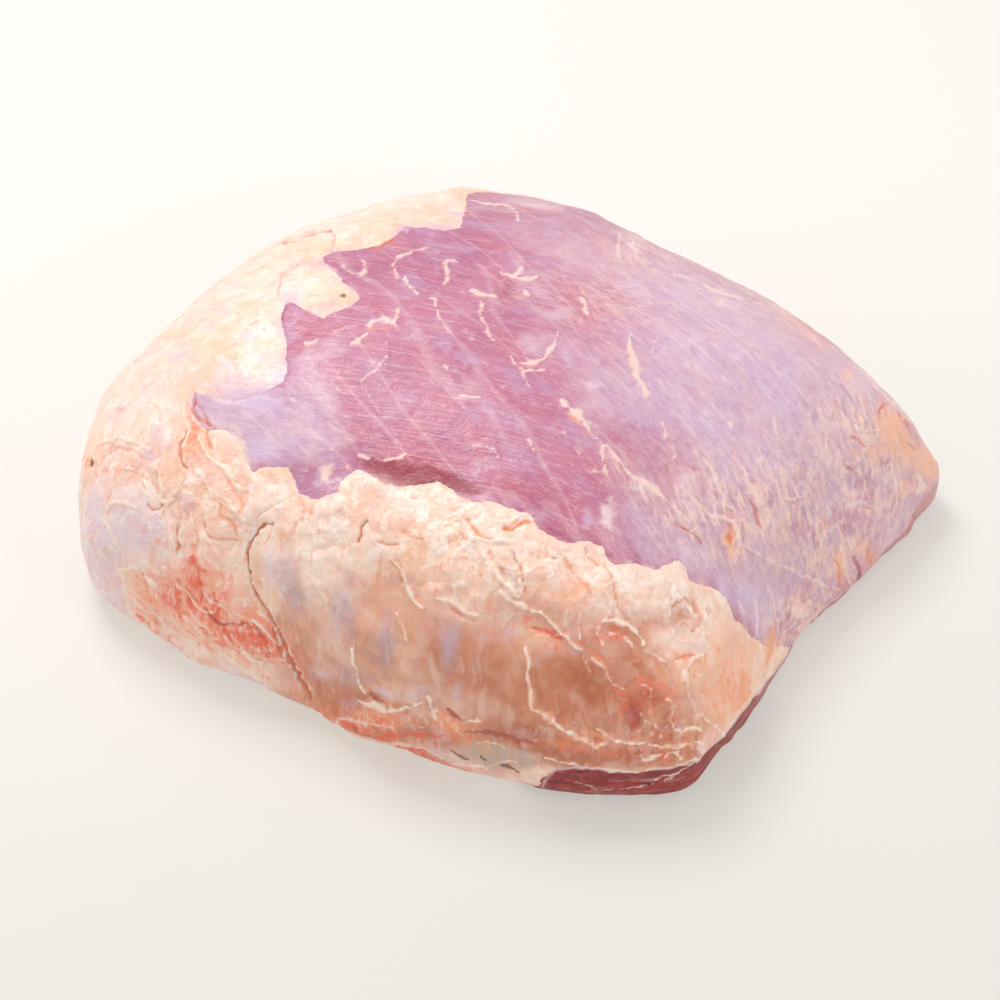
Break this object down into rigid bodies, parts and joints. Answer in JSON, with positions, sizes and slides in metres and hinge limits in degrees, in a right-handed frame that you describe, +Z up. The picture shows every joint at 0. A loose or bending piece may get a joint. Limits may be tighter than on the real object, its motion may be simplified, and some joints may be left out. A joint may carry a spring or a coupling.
{
  "type": "beef round",
  "caption": "Raw boneless joint of beef with a thick fat cap round the front and left, bare lean on top and a thin cut end, lying flat on its inner side.",
  "frame": {"origin": "middle of the bounding box in plan, on the flat underside that the joint rests on", "axes": "+X along the length to the thin cut end, +Y to the back, +Z up; the steep fat-covered wall faces -Y"},
  "size_m": [0.4014, 0.3436, 0.141],
  "materials": {
    "fat": "moist, uneven, satin",
    "lean": "moist, fine grain, satin",
    "membrane": "thin, moist, satin"
  },
  "bodies": {
    "root": {"beef_round": "fat"}
  },
  "joints": []
}
